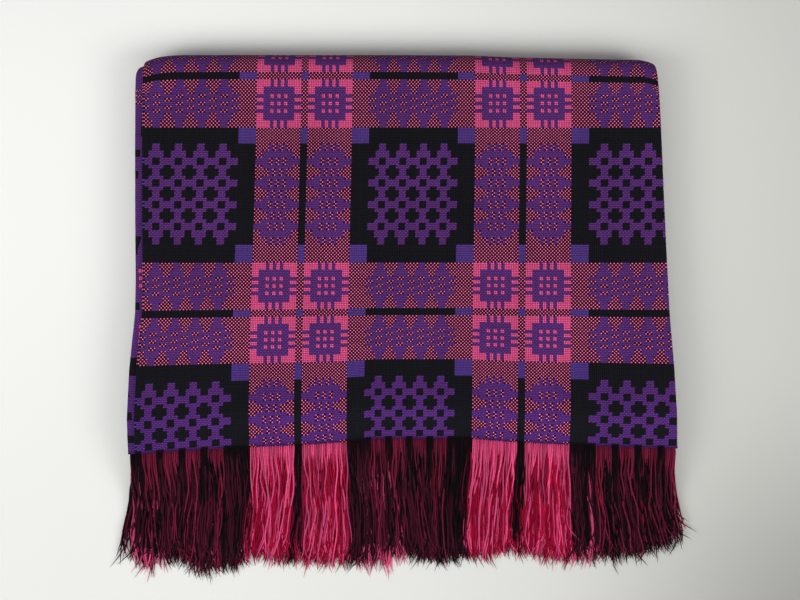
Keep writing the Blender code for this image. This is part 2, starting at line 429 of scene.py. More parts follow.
def section(left, right, y):
    """The cloth across the pile, from the selvedge on top to the end of the lowest layer."""
    right_bend = right - HALF - LAYER / 2
    left_bend = left + HALF + LAYER / 2
    selvedge = left + SELVEDGE_INSET
    bend_threads = np.pi * LAYER / 2 / THREAD
    at_right = upper_thread(right_bend)
    past_right = at_right + bend_threads
    at_left = between(LEFT_FOLD, y, 1)
    past_left = at_left + bend_threads
    end_x = right - END_INSET
    upper = (SELVEDGE_THREAD, at_right)
    middle = (past_right, at_left)
    inner = (past_left, FAR_SELVEDGE_THREAD)
    across = flat_across(selvedge, right_bend, LAYER, 1.0, upper, UPPER_ROOM, UPPER_STEPS)
    across = [point._replace(thread=upper_thread(point.x)) for point in across]
    across += bend_across(right_bend, LAYER / 2, 1, (at_right, past_right), RIGHT_BEND_ROOM)
    across += flat_across(right_bend, left_bend, 0.0, -1.0, middle, MIDDLE_ROOM, INNER_ACROSS_STEPS)
    across += bend_across(left_bend, -LAYER / 2, -1, (at_left, past_left), LEFT_BEND_ROOM)
    across += flat_across(left_bend, end_x, -LAYER, 1.0, inner, INNER_ROOM, INNER_ACROSS_STEPS)
    return across


print("section:", len(section(TOP.left_front, TOP.right_front, FRONT)), "points across")

# %% [markdown]
# Now the section is swept along the path. The cloth is a thin shell with a face and a reverse, and
# both sides carry the same thread and row numbers in a UV map. A second UV map unrolls the shell
# without overlaps, with most of its room for the upper layer that shows.

# %% Sweep the cloth
EDGE_STEPS = 4
REVERSE_ROOM = (0.78, 0.97)
EDGE_ROOM = 0.006
# The two ends of the cloth get a low strip above the rest of the unrolled map.
END_ROOM = 0.985
END_ROOM_HEIGHT = 0.01
PILE_HEIGHT = 0.04


def ring_of(station):
    """The closed ring of points round the cloth at one station, with its maps."""
    across = section(station.left, station.right, station.y)
    places, threads, reverse, rooms = [], [], [], []

    def add(point, offset, out, side, room):
        rise = point.rise + offset * point.nrise
        places.append((point.x + offset * point.nx + out, rise))
        threads.append(point.thread + out / THREAD * point.nrise)
        reverse.append(side)
        rooms.append(room)

    for point in across:
        add(point, HALF, 0.0, 0.0, point.room)
    for step in range(1, EDGE_STEPS):
        angle = np.pi * step / EDGE_STEPS
        room = across[-1].room + EDGE_ROOM * step / EDGE_STEPS
        add(across[-1], HALF * np.cos(angle), HALF * np.sin(angle), step / EDGE_STEPS, room)
    low, high = REVERSE_ROOM
    for point in reversed(across):
        add(point, -HALF, 0.0, 1.0, high - (high - low) * point.room / across[-1].room)
    for step in range(1, EDGE_STEPS):
        angle = np.pi * step / EDGE_STEPS
        room = high + EDGE_ROOM * step / EDGE_STEPS
        add(across[0], -HALF * np.cos(angle), -HALF * np.sin(angle), 1 - step / EDGE_STEPS, room)
    places = np.array(places)
    y = station.y - np.sin(station.angle) * places[:, 1]
    z = station.z + np.cos(station.angle) * places[:, 1]
    return lay(places[:, 0], y, z), np.array(threads), np.array(reverse), np.array(rooms)


rings = [ring_of(station) for station in PATH]
points = np.concatenate([ring[0] for ring in rings])
ring_size = len(rings[0][0])
ring_count = len(rings)
face_size = len(section(TOP.left_front, TOP.right_front, FRONT))
print("cloth:", ring_count, "rings of", ring_size, "points")


# %% Make the cloth's mesh and its maps
def end_faces(ring):
    """Closes one end of the cloth between its face and its reverse."""
    start = ring * ring_size
    back = face_size + EDGE_STEPS - 1
    faces = []
    for i in range(face_size - 1):
        j = back + face_size - 1 - i
        faces.append((start + i, start + i + 1, start + j - 1, start + j))
    faces.append(tuple(start + i for i in range(face_size - 1, back + 1)))
    last = [start + i for i in range(back + face_size - 1, ring_size)]
    faces.append((*last, start))
    return faces


def side_faces():
    """The quads between each ring and the next."""
    ring, around = np.meshgrid(np.arange(ring_count - 1), np.arange(ring_size), indexing="ij")
    following = (around + 1) % ring_size
    corners = (ring * ring_size + around, ring * ring_size + following)
    corners += ((ring + 1) * ring_size + following, (ring + 1) * ring_size + around)
    return np.stack(corners, axis=-1).reshape(-1, 4).tolist()


def shade_smooth(mesh):
    mesh.polygons.foreach_set("use_smooth", np.ones(len(mesh.polygons), dtype=bool))


def corners_of(mesh):
    """The point number of every face corner."""
    corners = np.zeros(len(mesh.loops), dtype=np.int32)
    mesh.loops.foreach_get("vertex_index", corners)
    return corners


mesh = bpy.data.meshes.new("blanket_cloth")
sides = side_faces()
mesh.from_pydata(points.tolist(), [], sides + end_faces(0) + end_faces(ring_count - 1))
cloth = bpy.data.objects.new("blanket_cloth", mesh)
bpy.context.scene.collection.objects.link(cloth)
shade_smooth(mesh)

corners = corners_of(mesh)
threads = np.concatenate([ring[1] for ring in rings])
rows = np.repeat([station.row for station in PATH], ring_size)
last_upper_thread = THREAD_PLACES[-1, 0]
past_upper = (threads - last_upper_thread) / (LEFT_FOLD[0, 1] - last_upper_thread)
rows += ROW_SKEW * np.clip(past_upper, 0, 1)
weave_map = mesh.uv_layers.new(name="threads")
weave_map.data.foreach_set("uv", np.stack((threads, rows), axis=-1)[corners].ravel())

rooms = np.concatenate([ring[3] for ring in rings])
stretch = np.repeat([station.room for station in PATH], ring_size)
unrolled = np.stack((rooms, stretch), axis=-1)[corners]
side_corners = unrolled[: len(sides) * 4].reshape(ring_count - 1, ring_size, 4, 2)
side_corners[:, -1, 1:3, 0] = REVERSE_ROOM[1] + EDGE_ROOM
end_corners = corners[len(sides) * 4 :]
unrolled[len(sides) * 4 :, 1] = END_ROOM + END_ROOM_HEIGHT * (points[end_corners, 2] / PILE_HEIGHT)
bake_map = mesh.uv_layers.new(name="OFBake")
bake_map.data.foreach_set("uv", unrolled.ravel())

reverse_side = mesh.attributes.new("reverse", "FLOAT", "POINT")
reverse_side.data.foreach_set("value", np.concatenate([ring[2] for ring in rings]))
mesh.validate()
print("cloth mesh:", len(mesh.polygons), "faces")

# %% [markdown]
# The pattern is drawn by which of the two weaves is on top. Weavers chart it as blocks. Here the
# kinds of block are m, the plain border of a square; s and d, the two grounds; and h, the holes.
# One line of blocks across and one along say everything, because both are mirrored about the
# middle of a square and about the thin black line between squares. So each chart below is only half
# a repeat, counted in threads from the middle of a black square to the middle of the next line.

# %% The weaver's charts
ACROSS_BLACK = "s2 d2 h4 d2 s4 d2 h4 d2 s4 m10"
ALONG_BLACK = "s2 d2 h4 d2 s4 d2 h4 d4 s4 m10"
PINK = "s4 d4 h2 d2 h2 d2 h2 d4 s4"
LINE = "m2"
BLOCK_CODES = {
    "m": (1.0, 0.0, 0.0),
    "h": (0.0, 1.0, 0.0),
    "d": (0.0, 0.0, 1.0),
    "s": (0.0, 0.0, 0.0),
}


def chart(black_part):
    """Half a repeat as (first thread, kind of block, whether the outer weave's yarn is black)."""
    blocks, at = [], 0
    for part, is_black in ((black_part, 1.0), (PINK, 0.0), (LINE, 1.0)):
        for block in part.split():
            blocks.append((at, block[0], is_black))
            at += int(block[1:])
    return blocks, at


ACROSS_CHART, ACROSS_HALF = chart(ACROSS_BLACK)
ALONG_CHART, ALONG_HALF = chart(ALONG_BLACK)
print("half repeats:", ACROSS_HALF, "ends,", ALONG_HALF, "picks")


def block_at(blocks, half, number):
    """The kind of block at a thread or row number, and whether its outer yarn is black."""
    folded = np.abs((number + half) % (2 * half) - half)
    found = [block for block in blocks if block[0] <= folded][-1]
    return found[1], found[2]


# %% [markdown]
# A material in Blender is a graph of small steps, and it is easiest to build with helpers that make
# one step each. A step takes numbers or the outputs of other steps.


# %% Helpers for building materials
SHEEN_ROUGHNESS = 0.6


class Graph:
    """A new node material, and short ways to add steps to it."""

    def __init__(self, name):
        self.material = bpy.data.materials.new(name)
        self.material.use_nodes = True
        self.tree = self.material.node_tree
        self.shader = self.tree.nodes["Principled BSDF"]

    def step(self, kind, **settings):
        made = self.tree.nodes.new(kind)
        for name, value in settings.items():
            setattr(made, name, value)
        return made

    def feed(self, socket, value):
        if isinstance(value, bpy.types.NodeSocket):
            self.tree.links.new(value, socket)
        else:
            socket.default_value = value

    def maths(self, operation, *values, clamp=False):
        made = self.step("ShaderNodeMath", operation=operation, use_clamp=clamp)
        for socket, value in zip(made.inputs, values):
            self.feed(socket, value)
        return made.outputs[0]

    def blend(self, share, first, second):
        """Mixes two colours."""
        made = self.step("ShaderNodeMix", data_type="RGBA")
        self.feed(made.inputs[0], share)
        self.feed(made.inputs[6], first)
        self.feed(made.inputs[7], second)
        return made.outputs[2]

    def scaled(self, colour, share):
        """A colour made brighter or darker."""
        made = self.step("ShaderNodeVectorMath", operation="SCALE")
        self.feed(made.inputs[0], colour)
        self.feed(made.inputs["Scale"], share)
        return made.outputs[0]

    def noise(self, vector, scale, detail=2.0):
        made = self.step("ShaderNodeTexNoise")
        self.feed(made.inputs["Vector"], vector)
        made.inputs["Scale"].default_value = scale
        made.inputs["Detail"].default_value = detail
        return made.outputs[0]

    def number(self, name):
        """A number stored on the mesh."""
        return self.step("ShaderNodeAttribute", attribute_name=name).outputs["Fac"]

    def wool_finish(self, roughness, sheen, specular):
        """Wool is dull, with a faint bloom of loose fibres."""
        self.shader.inputs["Roughness"].default_value = roughness
        self.shader.inputs["Sheen Weight"].default_value = sheen
        self.shader.inputs["Sheen Roughness"].default_value = SHEEN_ROUGHNESS
        self.shader.inputs["Specular IOR Level"].default_value = specular

    def bump_from(self, height, strength, distance):
        """Raises the surface in small where a number is high."""
        made = self.step("ShaderNodeBump")
        made.inputs["Strength"].default_value = strength
        made.inputs["Distance"].default_value = distance
        self.feed(made.inputs["Height"], height)
        self.feed(self.shader.inputs["Normal"], made.outputs[0])


def srgb(red, green, blue):
    """A colour as a paint chart gives it, turned into the light values that shaders use."""
    parts = np.array((red, green, blue)) / 255
    linear = np.where(parts <= 0.04045, parts / 12.92, ((parts + 0.055) / 1.055) ** 2.4)
    return (*linear.tolist(), 1.0)


# %% [markdown]
# The weave could be modelled thread by thread, but that would be over a million crossings. A
# material that counts threads does the same. For each spot it finds the thread and row numbers,
# reads both charts, and works out which weave is on top there and which yarn of that weave. It then
# rounds each yarn over with a bump, and paints shade towards its gaps and a highlight on the crown
# of each pink yarn into its colour, so that every crossing shows.

# %% Weave material: which weave is on top
BLACK_WOOL = srgb(20, 20, 27)
BLACK_BESIDE_PINK = srgb(42, 0, 21)
PINK_WOOL = srgb(212, 58, 116)
# Painted highlight and shade: a pink yarn is paler on its crown, and in the speckled parts deeper at
# its rim.
PINK_HIGHLIGHT = srgb(230, 108, 156)
PALE_HIGHLIGHT = srgb(250, 150, 196)
PINK_SHADED_RIM = srgb(176, 4, 78)
CRIMSON_WOOL = srgb(98, 18, 76)
BLUE_WOOL = srgb(75, 58, 134)
DEEP_BLUE_WOOL = srgb(66, 53, 138)
# How much crimson shows where a crimson end lies on top, and how blue the plain corners are.
CRIMSON_SHARE = 0.85
CORNER_BLUE = 0.70

weave = Graph("tapestry_weave")
numbers = weave.step("ShaderNodeUVMap", uv_map="threads")
split = weave.step("ShaderNodeSeparateXYZ")
weave.feed(split.inputs[0], numbers.outputs[0])
thread, row = split.outputs[0], split.outputs[1]
thread_number = weave.maths("FLOOR", thread)
row_number = weave.maths("FLOOR", row)


def read_chart(graph, number, blocks, half):
    """Looks a thread or row number up in its chart."""
    centred = graph.maths("ADD", number, 0.5)
    folded = graph.maths("PINGPONG", centred, float(half))
    ramp = graph.step("ShaderNodeValToRGB")
    graph.feed(ramp.inputs[0], graph.maths("DIVIDE", folded, float(half)))
    ramp.color_ramp.interpolation = "CONSTANT"
    stops = ramp.color_ramp.elements
    for at, kind, is_black in blocks:
        stop = stops[0] if at == 0 else stops.new(at / half)
        stop.color = (*BLOCK_CODES[kind], is_black)
    stops.remove(stops[-1])
    parts = graph.step("ShaderNodeSeparateColor")
    graph.feed(parts.inputs[0], ramp.outputs[0])
    return (*parts.outputs[:3], ramp.outputs[1])


m1, h1, d1, black_end = read_chart(weave, thread_number, ACROSS_CHART, ACROSS_HALF)
m2, h2, d2, black_pick = read_chart(weave, row_number, ALONG_CHART, ALONG_HALF)
ground1 = weave.maths("SUBTRACT", weave.maths("SUBTRACT", 1.0, m1), h1)
ground2 = weave.maths("SUBTRACT", weave.maths("SUBTRACT", 1.0, m2), h2)
both_m = weave.maths("MULTIPLY", m1, m2)
hole_ground = weave.maths("MULTIPLY", h1, ground2)
ground_hole = weave.maths("MULTIPLY", ground1, h2)
both_d = weave.maths("MULTIPLY", d1, d2)
square_blocks = weave.maths("ADD", both_m, hole_ground)
ground_blocks = weave.maths("ADD", ground_hole, both_d)
on_face = weave.maths("ADD", square_blocks, ground_blocks)
is_reverse = weave.maths("GREATER_THAN", weave.number("reverse"), 0.5)
blue_on_top = weave.maths("ABSOLUTE", weave.maths("SUBTRACT", on_face, is_reverse))
print("weave material reads", len(ACROSS_CHART), "and", len(ALONG_CHART), "blocks")

# %% Weave material: the yarn at each crossing
# How steeply a yarn rounds over to its sides, and how steeply it dips under at its ends.
YARN_ROUND = 3.2
YARN_DIP = 2.4
FIBRE_SCALE = 3.1
FIBRE_DETAIL = 3.0
DRIFT_SCALE = 0.021
DRIFT_DETAIL = 2.0
# Keeps the random shades of the picks apart from those of the ends.
PICKS_APART = 1000.5
counted = weave.maths("ADD", thread_number, row_number)
pick_up = weave.maths("FLOORED_MODULO", counted, 2.0)
across_thread = weave.maths("SUBTRACT", weave.maths("FRACT", thread), 0.5)
across_row = weave.maths("SUBTRACT", weave.maths("FRACT", row), 0.5)


def choose(graph, share, first, second):
    """First where share is 0, and second where it is 1, for numbers."""
    made = graph.step("ShaderNodeMix", data_type="FLOAT")
    graph.feed(made.inputs[0], share)
    graph.feed(made.inputs[2], first)
    graph.feed(made.inputs[3], second)
    return made.outputs[0]


off_yarn = choose(weave, pick_up, across_thread, across_row)
along_yarn = choose(weave, pick_up, across_row, across_thread)
off_square = weave.maths("MULTIPLY", off_yarn, off_yarn)
along_square = weave.maths("MULTIPLY", along_yarn, along_yarn)
yarn_round = weave.maths("SUBTRACT", 1.0, weave.maths("MULTIPLY", off_square, YARN_ROUND))
yarn_dip = weave.maths("SUBTRACT", 1.0, weave.maths("MULTIPLY", along_square, YARN_DIP))
dome = weave.maths("MULTIPLY", yarn_round, yarn_dip, clamp=True)

spot = weave.step("ShaderNodeCombineXYZ")
weave.feed(spot.inputs[0], thread)
weave.feed(spot.inputs[1], row)
fibre = weave.noise(spot.outputs[0], FIBRE_SCALE, FIBRE_DETAIL)
drift = weave.noise(spot.outputs[0], DRIFT_SCALE, DRIFT_DETAIL)
yarn_number = choose(weave, pick_up, thread_number, weave.maths("ADD", row_number, PICKS_APART))
yarn_shade = weave.step("ShaderNodeTexWhiteNoise", noise_dimensions="1D")
weave.feed(yarn_shade.inputs["W"], yarn_number)

# %% Weave material: the colour of each yarn
# The higher this is, the smaller is the painted highlight on the crown of a pink yarn.
HIGHLIGHT_POWER = 3.2
# The blue picks are a little deeper near the fringe: from this row, and fully so this much further.
DEEPER_FROM_ROW = 84.0
DEEPER_OVER_ROWS = 40.0
# How sharp the fine line of a pick is, and how much more blue shows on it than beside it.
PICK_LINE_SHARPNESS = -3.6
PICK_LINE_SHARE = 0.6
PICK_LINE_BASE = 0.5
past_row = weave.maths("SUBTRACT", row, DEEPER_FROM_ROW)
towards_fringe = weave.maths("DIVIDE", past_row, DEEPER_OVER_ROWS, clamp=True)
speckled = weave.maths("ABSOLUTE", weave.maths("SUBTRACT", black_end, black_pick))
pink_highlight = weave.blend(speckled, PINK_HIGHLIGHT, PALE_HIGHLIGHT)
pink_shaded_side = weave.blend(speckled, PINK_WOOL, PINK_SHADED_RIM)
pink_yarn = weave.blend(weave.maths("POWER", dome, HIGHLIGHT_POWER), pink_shaded_side, pink_highlight)
black_yarn = weave.blend(speckled, BLACK_WOOL, BLACK_BESIDE_PINK)
outer_end = weave.blend(black_end, pink_yarn, black_yarn)
outer_pick = weave.blend(black_pick, pink_yarn, black_yarn)
outer_weave = weave.blend(pick_up, outer_end, outer_pick)
blue_pick = weave.blend(towards_fringe, BLUE_WOOL, DEEP_BLUE_WOOL)
row_square = weave.maths("MULTIPLY", across_row, across_row)
pick_line = weave.maths("MULTIPLY_ADD", row_square, PICK_LINE_SHARPNESS, 1.0, clamp=True)
blue_share = weave.maths("MULTIPLY_ADD", pick_up, CRIMSON_SHARE, 1.0 - CRIMSON_SHARE)
lined = weave.maths("MULTIPLY_ADD", pick_line, PICK_LINE_SHARE, PICK_LINE_BASE)
blue_share = weave.maths("MULTIPLY", blue_share, lined, clamp=True)
blue_share = weave.maths("MAXIMUM", blue_share, weave.maths("MULTIPLY", both_m, CORNER_BLUE))
blue_weave = weave.blend(blue_share, CRIMSON_WOOL, blue_pick)
cloth_colour = weave.blend(blue_on_top, outer_weave, blue_weave)
turned_yarn = weave.blend(blue_on_top, outer_pick, blue_pick)

# %% Weave material: the selvedge, where the picks turn
# At the selvedge every second pick turns as black. This dark edge is partly painted shadow, for the
# dark line where the upper layer's edge shades the fold beneath it.
SELVEDGE_THREADS = 0.9
dark_turn = weave.maths("FLOORED_MODULO", row_number, 2.0)
selvedge_and_shadow_colour = weave.blend(dark_turn, turned_yarn, BLACK_WOOL)
near_edge = weave.maths("LESS_THAN", thread, SELVEDGE_THREAD + SELVEDGE_THREADS)
far_edge = weave.maths("GREATER_THAN", thread, FAR_SELVEDGE_THREAD - SELVEDGE_THREADS)
at_edge = weave.maths("MAXIMUM", near_edge, far_edge)
yarn_colour = weave.blend(at_edge, cloth_colour, selvedge_and_shadow_colour)

# %% Weave material: painted light and shade on the yarns
# Painted shade: where black and pink yarns cross, the gaps are deep and painted dark. In the blue
# weave the picks lie as fine lines with painted shade between them.
DEEP_GAP_SHADE = 0.9
LINED_SHARE = 0.55
# How strongly each of these changes the light on a yarn, and how much light is left without it.
YARN_SHAPE_SHADE = (1.02, 0.04)
FIBRE_LIGHT = (0.8, 0.74)
DRIFT_LIGHT = (0.4, 0.80)
SHADE_LIGHT = (0.22, 0.90)
FIBRE_HEIGHT = 0.35


def varied(graph, light, number, amounts):
    """Makes the light stronger where a number is high and weaker where it is low."""
    return graph.maths("MULTIPLY", light, graph.maths("MULTIPLY_ADD", number, *amounts))


deep_gap_shade = weave.maths("MULTIPLY", speckled, weave.maths("SUBTRACT", 1.0, blue_on_top))
shape_shade = weave.maths("POWER", dome, weave.maths("MULTIPLY_ADD", deep_gap_shade, DEEP_GAP_SHADE, 1.0))
shape_shade = choose(weave, weave.maths("MULTIPLY", blue_on_top, LINED_SHARE), shape_shade, pick_line)
light = weave.maths("MULTIPLY_ADD", shape_shade, *YARN_SHAPE_SHADE)
light = varied(weave, light, fibre, FIBRE_LIGHT)
light = varied(weave, light, drift, DRIFT_LIGHT)
light = varied(weave, light, yarn_shade.outputs[0], SHADE_LIGHT)
weave.feed(weave.shader.inputs["Base Color"], weave.scaled(yarn_colour, light))
height = weave.maths("MULTIPLY_ADD", fibre, FIBRE_HEIGHT, dome)
weave.bump_from(height, strength=0.55, distance=0.0006)
weave.wool_finish(roughness=0.92, sheen=0.02, specular=0.06)
mesh.materials.append(weave.material)
print("weave material:", len(weave.tree.nodes), "steps")

# %% Tell the frame what the cloth stands for
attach(cloth, "root")
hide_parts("cloth")

# %% [markdown]
# The fringe is the warp itself. Every end of both weaves comes out of the cloth's last row as a
# loose woollen yarn, so each layer at the front has two yarns for each thread: a black or pink one
# and a dark red one. We make each yarn as a thin tube along its own path. Particle hair would be
# quicker, but tubes keep their colour, their thickness and their place in the exported model.

# %% Where each layer's yarns start
Layer = namedtuple("Layer", "name level start_x stop_x start_thread stop_thread on_floor seed")
# How high the middle of the lowest layer's yarns lies on the surface, and each next layer above it.
LOWEST_LAYER = 0.0011
NEXT_LAYER = 0.0010
SEED_STEP = 7


def fringe_layers():
    """The six layers whose ends show at the front, from the top one down."""
    layers = []
    # The second band lies turned over, so its outer layer is its lowest one.
    for band, up in ((TOP, 1), (SECOND, -1)):
        levels = (band.level + up, band.level, band.level - up)
        left, right = band.left_front, band.right_front
        right_bend = right - HALF - LAYER / 2
        left_bend = left + HALF + LAYER / 2
        selvedge = left + SELVEDGE_INSET
        at_right = upper_thread(right_bend)
        runs = (
            (selvedge, right_bend, SELVEDGE_THREAD, at_right),
            (right_bend, left_bend, at_right, LEFT_FOLD[0, 1]),
            (left_bend, right - END_INSET, LEFT_FOLD[0, 1], FAR_SELVEDGE_THREAD),
        )
        for fold, (level, run) in enumerate(zip(levels, runs)):
            name = ("upper" if band is TOP else "lower") + "_" + ("outer", "middle", "inner")[fold]
            layers.append(Layer(name, level, *run, 0.0, SEED_STEP * level + fold))
    layers.sort(key=lambda layer: -layer.level)
    count = len(layers)
    return [
        layer._replace(on_floor=LOWEST_LAYER + (count - 1 - number) * NEXT_LAYER)
        for number, layer in enumerate(layers)
    ]


FRINGE = fringe_layers()
for layer in FRINGE:
    thread_range = round(layer.start_thread), round(layer.stop_thread)
    print("fringe layer", layer.name, "threads", *thread_range)

# %% [markdown]
# A loose warp end doesn't hang straight. It leaves the cloth with its neighbours, leans with them
# towards a small tuft, wanders on its own, and spreads again at its tip. So a path is the sum of
# these: the tuft's pull, the tuft's lean, a wave of its own and a drift of its own. It falls from
# the height of its layer to the surface, and then lies on it.

# %% How long the fringe is at each place
# How much longer the fringe is at each x than its usual reach.
TRIM = np.array(
    (
        (-0.270, -0.032),
        (-0.259, -0.018),
        (-0.250, 0.000),
        (-0.235, -0.003),
        (-0.220, -0.009),
        (-0.185, 0.003),
        (-0.160, 0.001),
        (-0.130, -0.011),
        (-0.090, -0.005),
        (-0.035, -0.003),
        (0.000, -0.011),
        (0.045, -0.006),
        (0.085, -0.009),
        (0.125, -0.016),
        (0.165, -0.007),
        (0.210, -0.009),
        (0.240, -0.016),
        (0.262, -0.025),
        (0.275, -0.035),
    )
)


# %% The dye of each yarn
YARNS_PER_THREAD = 2
DYES = {"black": 0.0, "plum": 1.0, "wine": 2.0, "crimson": 3.0, "pink": 4.0}
# Painted shade and light: this share of the yarns that show from beneath take plum under dark
# parts and crimson under pink ones, in place of their own dyes, for the shade under dark parts and
# the reddish light between pink yarns.
UNDER_SHADE_MATCH = 0.98
# Where a tuft of pink ends shows beneath a dark part of the fringe: its middle, how far it spreads
# each way, how much longer it is, and how much shorter the dark yarns above it are.
PINK_TUFTS = (
    (-0.250, 0.020, 0.006, 0.013),
    (-0.020, 0.020, 0.007, 0.002),
    (0.180, 0.013, 0.003, 0.001),
)
TUFT_LAYERS = ("upper_inner", "lower_outer")
PINK_IN_TUFT = 0.8


def dye_of(thread, is_outer):
    """Which yarn an end is: the outer weave's is black or pink, and the inner one's a dark red."""
    kind, is_black = block_at(ACROSS_CHART, ACROSS_HALF, thread)
    if is_outer:
        return DYES["black"] if is_black else DYES["pink"]
    if is_black:
        return DYES["wine"] if kind in "hd" else DYES["plum"]
    return DYES["crimson"]


def inner_on_top(thread):
    """Whether the inner weave's end lies above the outer one where the cloth stops, as in a ring."""
    kind, is_black = block_at(ACROSS_CHART, ACROSS_HALF, thread)
    return kind in "hd" and is_black == 1.0


def yarn_dyes(rng, layer, x0, numbers, outer):
    """The dye of each yarn, and how much longer or shorter it is for a tuft of pink."""
    count = len(x0)
    chances = rng.uniform(size=count)
    dyes = np.array([dye_of(*end) for end in zip(numbers, outer)])
    extra = np.zeros(count)
    # Painted shade and light: under yarns take the plum or the crimson of the part above them.
    if layer.name != "upper_outer":
        above = upper_thread(x0)
        dark_above = np.array([block_at(ACROSS_CHART, ACROSS_HALF, end)[1] for end in above])
        shade_matched = rng.uniform(size=count) < UNDER_SHADE_MATCH
        dyes[shade_matched & (dark_above == 1.0) & (dyes >= DYES["crimson"])] = DYES["plum"]
        dyes[shade_matched & (dark_above == 0.0) & (dyes < DYES["crimson"])] = DYES["crimson"]
    for middle, spread, longer, shorter in PINK_TUFTS:
        near = np.abs(x0 - middle) < spread
        if layer.name in TUFT_LAYERS:
            dyes[near & (chances < PINK_IN_TUFT)] = DYES["pink"]
            extra[near] = longer
        elif layer.name.startswith("upper"):
            extra[near] = -shorter
    return dyes, extra


# %% The small tufts that the yarns gather into
Tufts = namedtuple("Tufts", "middles pulls leans lengths")
# The least and the most that tufts lie apart, and that they pull their yarns in.
TUFT_GAPS = (0.0045, 0.0115)
TUFT_PULLS = (0.10, 0.55)
# Tufts lean to one side together, in a slow wave, and each a little on its own.
TUFT_LEAN = 0.0040
TUFT_LEAN_RATE = 31
TUFT_LEAN_SPREAD = 0.0026
TUFT_LENGTH_SPREAD = 0.0030


def gather_tufts(rng, layer):
    """The tufts of a layer: their middles, how they pull and lean, and how long they are."""
    low, high = sorted((layer.start_x, layer.stop_x))
    middles = [low]
    while middles[-1] < high:
        middles.append(middles[-1] + rng.uniform(*TUFT_GAPS))
    middles = np.array(middles)
    count = len(middles)
    pulls = rng.uniform(*TUFT_PULLS, count)
    leans = TUFT_LEAN * np.sin(middles * TUFT_LEAN_RATE + layer.seed)
    leans += rng.normal(0, TUFT_LEAN_SPREAD, count)
    lengths = rng.normal(0, TUFT_LENGTH_SPREAD, count)
    return Tufts(middles, pulls, leans, lengths)


# %% How a yarn runs sideways
# How far out a yarn has come fully to its tuft, and leans fully with it.
PULL_OVER = 0.045
LEAN_OVER = 0.110
# A tuft opens again towards its tip: how much, from how far out, and over what length.
OPENING = 0.55
OPENING_FROM = 0.075
OPENING_OVER = 0.05
# The least and the greatest height and length of a yarn's own wave.
YARN_WAVES = (0.0004, 0.0017)
YARN_WAVE_LENGTHS = (0.032, 0.085)
YARN_WAVE_FADE = 0.03
# A few yarns stray far from their neighbours.
STRAY_SHARE = 0.07
STRAY_DRIFT = 0.0065
USUAL_DRIFT = 0.0022
DRIFT_POWER = 1.6
# The last stretch of each yarn turns away to one side.
TIP_SPREAD = 0.0052
TIP_FROM = 0.80
TIP_OVER = 0.20


def wander(rng, x0, out, share_out, tufts, tuft):
    """Each yarn's places across the pile: into its tuft, on its own way, and apart at the tip."""
    count = len(x0)
    gather = smooth(out / PULL_OVER) * (1 - OPENING * smooth((out - OPENING_FROM) / OPENING_OVER))
    x = x0[:, None] + gather * (tufts.middles[tuft] - x0)[:, None] * tufts.pulls[tuft][:, None]
    x += smooth(out / LEAN_OVER) * tufts.leans[tuft][:, None]
    wave = rng.uniform(*YARN_WAVES, count)[:, None]
    length = rng.uniform(*YARN_WAVE_LENGTHS, count)[:, None]
    phase = rng.uniform(0, 2 * np.pi, count)[:, None]
    x += wave * smooth(out / YARN_WAVE_FADE) * np.sin(2 * np.pi * out / length + phase)
    stray = np.where(rng.uniform(size=count) < STRAY_SHARE, STRAY_DRIFT, USUAL_DRIFT)
    x += (rng.normal(0, 1, count) * stray)[:, None] * share_out**DRIFT_POWER
    tip = np.clip((share_out - TIP_FROM) / TIP_OVER, 0, 1) ** 2
    x += rng.normal(0, TIP_SPREAD, count)[:, None] * tip
    return x


# %% How a yarn falls, and the whole path
# How far inside the cloth a yarn starts, and the lowest that its middle line may lie.
INSIDE = 0.0030
LOWEST = 0.00125
YARN_LENGTH_SPREAD = 0.0050
# A yarn has fallen to the surface somewhere between these two places.
FALL_OVERS = (0.048, 0.068)
# How far the upper and the lower yarn of a thread leave the cloth above and below its middle.
OVER_RISE = 0.0004
UNDER_RISE = -0.0005
YARN_LIFTS = (0.0, 0.0019)
YARN_LIFT_FADE = 0.02
# The tips settle closer to the surface: how much, from how far out, and over what length.
SETTLING = 0.55
SETTLING_FROM = 0.085
SETTLING_OVER = 0.035


def falling(rng, layer, out, is_over):
    """Each yarn's heights, from its layer down to the surface and along it."""
    count = len(is_over)
    fall = smooth(out / rng.uniform(*FALL_OVERS, count)[:, None])
    root_z = level_z(layer.level) + np.where(is_over, OVER_RISE, UNDER_RISE)
    lift = rng.uniform(*YARN_LIFTS, count)[:, None] * smooth(out / YARN_LIFT_FADE)
    settle = 1 - SETTLING * smooth((out - SETTLING_FROM) / SETTLING_OVER)
    floor_z = layer.on_floor + lift
    z = floor_z * settle + (root_z[:, None] - floor_z) * (1 - fall)
    return np.maximum(z, LOWEST)


